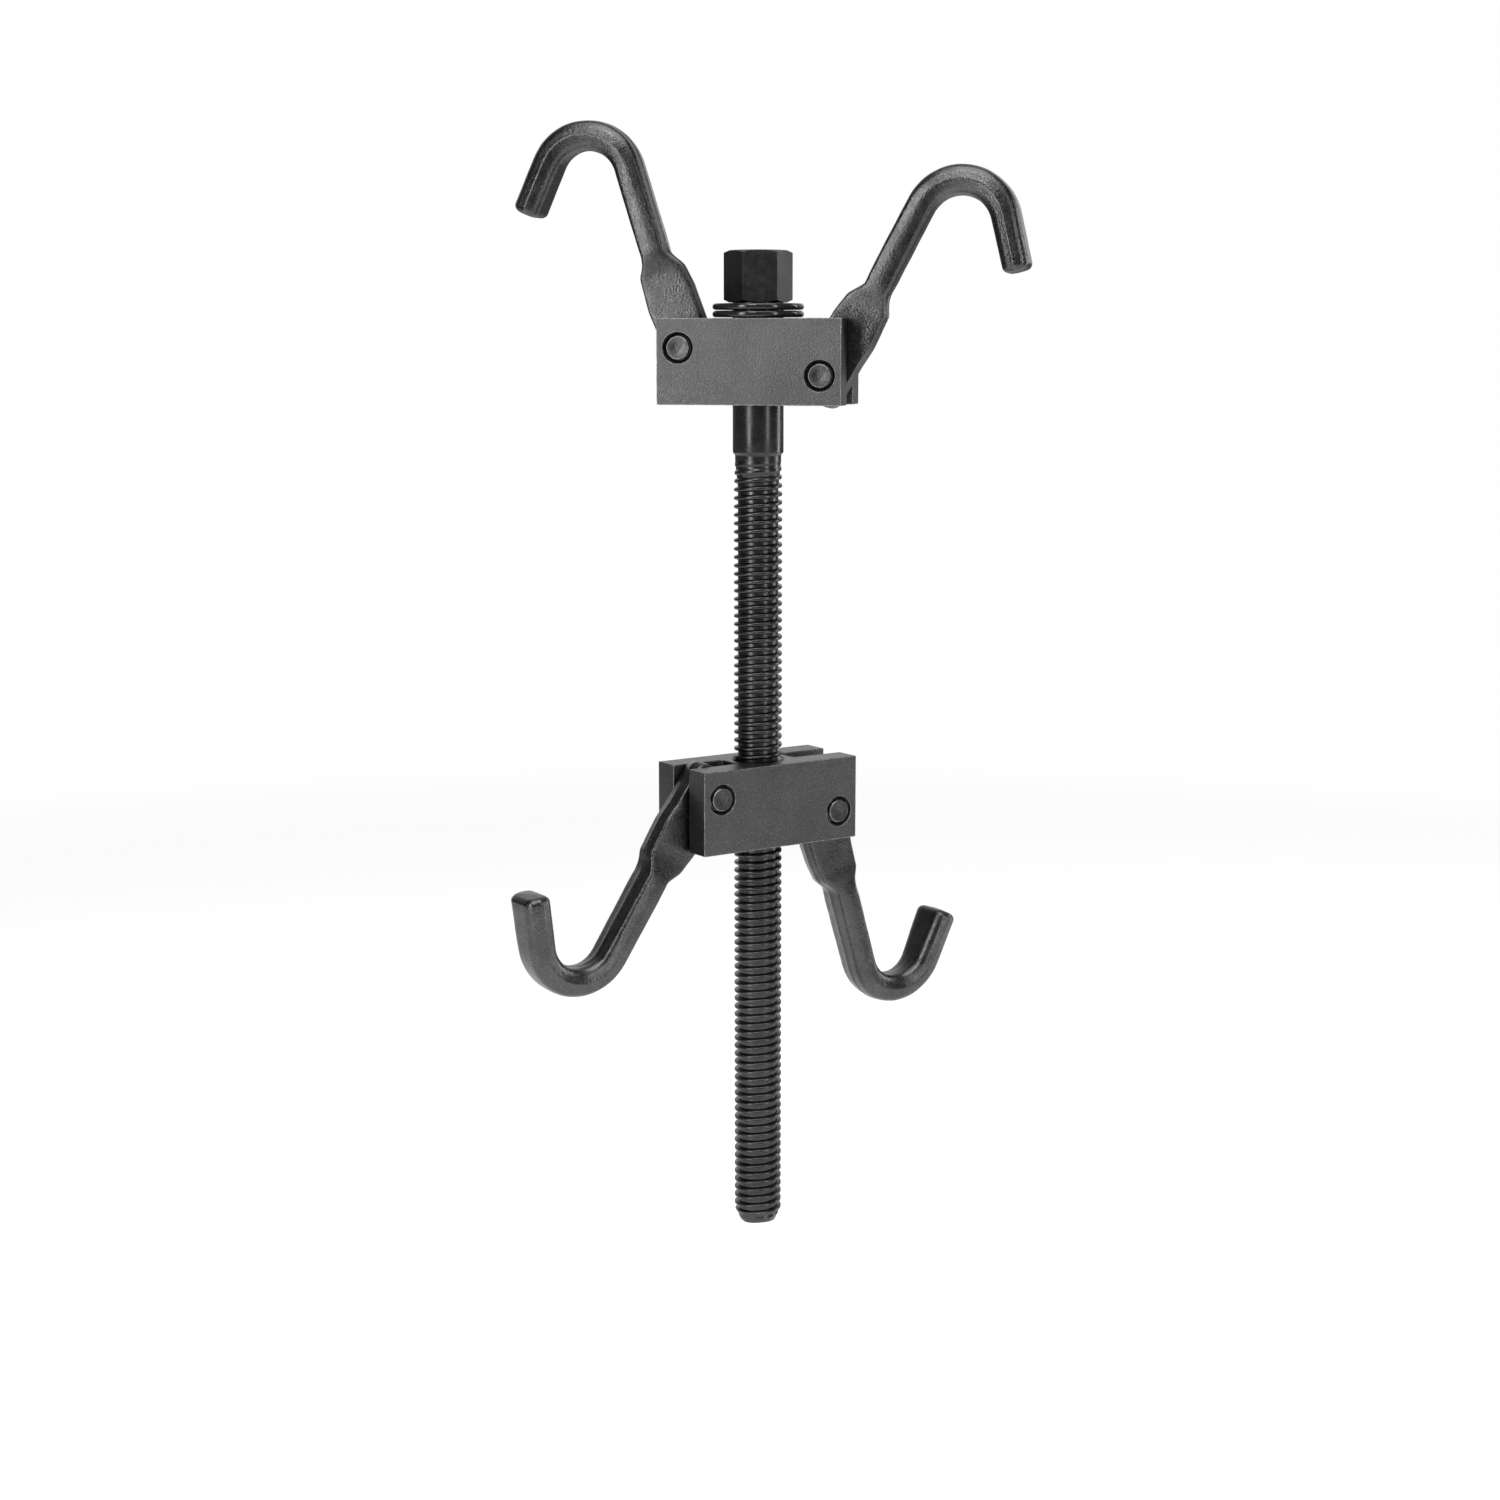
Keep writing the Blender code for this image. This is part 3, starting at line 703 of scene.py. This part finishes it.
def makeHook(name, level, side, seed):
    node = f"{level}_{side}_hook"
    joint = joints[node + "_swing"]
    lean = math.radians(hook["closedLean"] - joint["range_deg"][0])
    axis = Vector(joint["axis"]).normalized()
    up = Vector((0, 0, 1 if level == "upper" else -1))
    out = axis.cross(up)
    upright = Matrix((out, axis, up)).transposed().to_4x4()
    place = Matrix.Translation(joint["pos_m"]) @ upright @ Matrix.Rotation(lean, 4, "Y")
    hole = roundCutter([(hook["pinHole"], 12), (hook["pinHole"], -12)],
                       quarterTurn, hook["holeSteps"])
    forging = bpy.data.objects.new(name, forgedHookMesh(name, seed))
    bpy.context.scene.collection.objects.link(forging)
    boolean = forging.modifiers.new("pinHole", "BOOLEAN")
    boolean.object = hole
    boolean.solver = "EXACT"
    bpy.context.view_layer.update()
    mesh = bpy.data.meshes.new_from_object(forging.evaluated_get(bpy.context.evaluated_depsgraph_get()))
    mesh.name = name
    for unwanted in (forging, hole):
        bpy.data.objects.remove(unwanted, do_unlink=True)
    putPiece(name, mesh, place, forgedSteel, node, node, 42)


hookPlaces = [(level, side) for level in ("upper", "lower") for side in ("left", "right")]
for seed, (level, side) in enumerate(hookPlaces, 1):
    makeHook(f"{level}{side.title()}ForgedHook", level, side, seed)
print("hooks made")


studio = {
    "floorHeight": -72.0,            # the spring's foot would be this far below the screw's end
    "floorRadius": 1.6, "fadeStart": 0.5, "floorTone": "#f4f4f3",
    "mottleSize": 40.0, "toothSize": 0.8,
    "ambient": 0.13, "behind": 1.0, "fill": 0.62, "backdrop": 1.0,
    "turn": 14.13, "pitchDown": 9.517, "distance": 942.6, "aside": 3.05, "height": 345.2, "lens": 60.0,
    "sensor": 36.0, "clipStart": 0.01,
    "target": (0.0, 0.0, 0.2),
}


def makeFloor():
    bm = bmesh.new()
    bmesh.ops.create_circle(bm, cap_ends=True, segments=96, radius=studio["floorRadius"])
    floor = bpy.data.objects.new("floor", meshFrom("floor", bm))
    floor.location = (0, 0, studio["floorHeight"] * mm)
    bpy.context.scene.collection.objects.link(floor)
    material = bpy.data.materials.new("matt white paper")
    material.use_nodes = True
    tree = material.node_tree
    shader = tree.nodes["Principled BSDF"]
    shader.inputs["Roughness"].default_value = 0.9
    place = addNode(tree, "ShaderNodeTexCoord")
    # a faint mottle and tooth keep the paper from being one flat tone
    mottle = addNode(tree, "ShaderNodeTexNoise", {"Scale": 1 / (studio["mottleSize"] * mm), "Detail": 5.0},
                     {"Vector": place.outputs["Object"]})
    tooth = addNode(tree, "ShaderNodeTexNoise", {"Scale": 1 / (studio["toothSize"] * mm), "Detail": 2.0},
                    {"Vector": place.outputs["Object"]})
    shade = addNode(tree, "ShaderNodeMapRange", {"To Min": 0.975, "To Max": 1.0},
                    {"Value": mottle.outputs[0]})
    tone = addNode(tree, "ShaderNodeHueSaturation", {"Color": linear(studio["floorTone"])},
                   {"Value": shade.outputs[0]})
    bump = addNode(tree, "ShaderNodeBump", {"Strength": 0.15, "Distance": 0.1 * mm},
                   {"Height": tooth.outputs[0]})
    tree.links.new(tone.outputs[0], shader.inputs["Base Color"])
    tree.links.new(bump.outputs[0], shader.inputs["Normal"])
    reach = addNode(tree, "ShaderNodeVectorMath", {"operation": "LENGTH"}, {0: place.outputs["Object"]})
    fade = addNode(tree, "ShaderNodeMapRange",
                   {"interpolation_type": "SMOOTHSTEP", "From Min": studio["fadeStart"],
                    "From Max": studio["floorRadius"] * 0.95}, {"Value": reach.outputs["Value"]})
    clear = addNode(tree, "ShaderNodeBsdfTransparent")
    blend = addNode(tree, "ShaderNodeMixShader", {}, {0: fade.outputs[0], 1: shader.outputs[0],
                                                      2: clear.outputs[0]})
    tree.links.new(blend.outputs[0], tree.nodes["Material Output"].inputs["Surface"])
    floor.data.materials.append(material)


# bright paper behind the tool, a dim room in front of it
def makeWorld():
    world = bpy.data.worlds.new("studio")
    bpy.context.scene.world = world
    world.use_nodes = True
    tree = world.node_tree
    tree.nodes.clear()
    place = addNode(tree, "ShaderNodeTexCoord")
    turned = addNode(tree, "ShaderNodeMapping", {"vector_type": "POINT",
                                                 "Rotation": (0, 0, -math.radians(studio["turn"]))},
                     {"Vector": place.outputs["Generated"]})
    axes = addNode(tree, "ShaderNodeSeparateXYZ", {}, {0: turned.outputs[0]})
    ahead = addNode(tree, "ShaderNodeMapRange", {"interpolation_type": "SMOOTHSTEP", "From Min": 0.4,
                                                 "From Max": 0.9}, {"Value": axes.outputs["Y"]})
    above = addNode(tree, "ShaderNodeMapRange", {"interpolation_type": "SMOOTHSTEP", "From Min": -0.03,
                                                 "From Max": 0.06}, {"Value": axes.outputs["Z"]})
    behind = addNode(tree, "ShaderNodeMath", {"operation": "MULTIPLY"},
                     {0: ahead.outputs[0], 1: above.outputs[0]})
    glow = addNode(tree, "ShaderNodeMapRange", {"To Min": studio["ambient"], "To Max": studio["behind"]},
                   {"Value": behind.outputs[0]})
    room = addNode(tree, "ShaderNodeBackground", {}, {"Strength": glow.outputs[0]})
    fill = addNode(tree, "ShaderNodeBackground", {"Strength": studio["fill"]})
    paper = addNode(tree, "ShaderNodeBackground", {"Strength": studio["backdrop"]})
    ray = addNode(tree, "ShaderNodeLightPath")
    matt = addNode(tree, "ShaderNodeMixShader", {}, {0: ray.outputs["Is Diffuse Ray"], 1: room.outputs[0],
                                                     2: fill.outputs[0]})
    seen = addNode(tree, "ShaderNodeMixShader", {}, {0: ray.outputs["Is Camera Ray"], 1: matt.outputs[0],
                                                     2: paper.outputs[0]})
    addNode(tree, "ShaderNodeOutputWorld", {}, {0: seen.outputs[0]})
    for background in (room, fill, paper):
        background.inputs["Color"].default_value = (1, 1, 1, 1)


# azimuths are from the camera's side of the tool, positive to the right of the view
softboxes = {
    "leftBox": {"azimuth": -42, "height": 0.5, "distance": 1.5, "size": (0.34, 1.2), "radiance": 9.0},
    "rightBox": {"azimuth": 44, "height": 0.5, "distance": 1.5, "size": (0.22, 1.3), "radiance": 7.0},
    "sideBox": {"azimuth": 108, "height": 0.4, "distance": 1.5, "size": (0.35, 1.2), "radiance": 6.0},
    "highBox": {"azimuth": -18, "height": 1.35, "distance": 1.0, "size": (0.4, 0.4), "radiance": 12.0},
    "topBox": {"azimuth": 10, "height": 1.9, "distance": 0.4, "size": (1.5, 1.5), "radiance": 3.4},
}


def makeLights():
    target = Vector(studio["target"])
    for name, box in softboxes.items():
        light = bpy.data.lights.new(name, "AREA")
        light.shape = "RECTANGLE"
        light.size, light.size_y = box["size"]
        light.energy = box["radiance"] * math.pi * box["size"][0] * box["size"][1]
        lamp = bpy.data.objects.new(name, light)
        angle = math.radians(studio["turn"] - 90 + box["azimuth"])
        lamp.location = (box["distance"] * math.cos(angle), box["distance"] * math.sin(angle), box["height"])
        lamp.rotation_euler = (target - lamp.location).to_track_quat("-Z", "Y").to_euler()
        lamp.visible_camera = False
        bpy.context.scene.collection.objects.link(lamp)


def makeCamera():
    camera = bpy.data.objects.new("camera", bpy.data.cameras.new("camera"))
    bpy.context.scene.collection.objects.link(camera)
    camera.data.lens = studio["lens"]
    camera.data.sensor_width = studio["sensor"]
    camera.data.clip_start = studio["clipStart"]
    turn = math.radians(studio["turn"])
    right = Vector((math.cos(turn), math.sin(turn), 0))
    ahead = Vector((-math.sin(turn), math.cos(turn), 0))
    camera.location = (-right * studio["aside"] - ahead * studio["distance"]) * mm
    camera.location.z = studio["height"] * mm
    camera.rotation_euler = (math.radians(90 - studio["pitchDown"]), 0, turn)
    bpy.context.scene.camera = camera


makeFloor()
makeWorld()
makeLights()
makeCamera()
bpy.context.scene.view_settings.view_transform = "Standard"
print("studio made")
